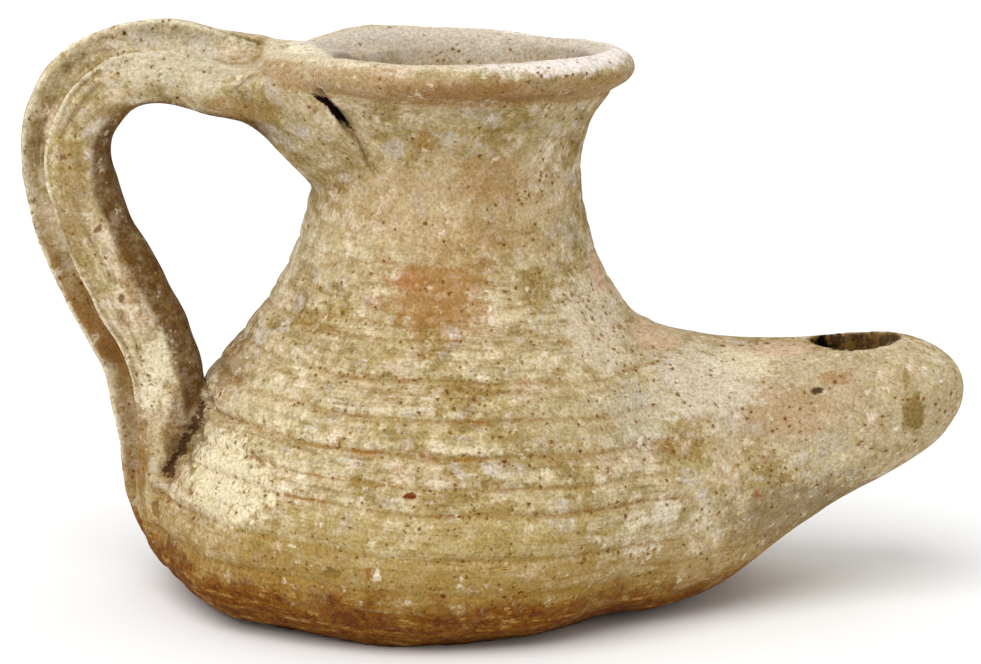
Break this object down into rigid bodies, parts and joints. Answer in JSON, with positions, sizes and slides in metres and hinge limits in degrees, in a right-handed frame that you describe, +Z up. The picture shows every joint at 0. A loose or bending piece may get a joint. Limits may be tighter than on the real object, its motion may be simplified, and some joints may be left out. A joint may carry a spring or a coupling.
{
  "type": "roman oil lamp",
  "caption": "Hand-made fired-clay oil lamp: squat hollow body with a flared mouth, a long closed nozzle with a wick hole in its top, and a grooved strap handle.",
  "frame": {"origin": "foot of the wheel axis on the lamp's flat base", "axes": "+X towards the nozzle's tip, +Z up through the mouth; the handle is on the -X side"},
  "size_m": [0.1305, 0.0772, 0.0793],
  "materials": {
    "fired_clay": "matte"
  },
  "bodies": {
    "root": {"oil_lamp": "fired_clay"}
  },
  "joints": []
}
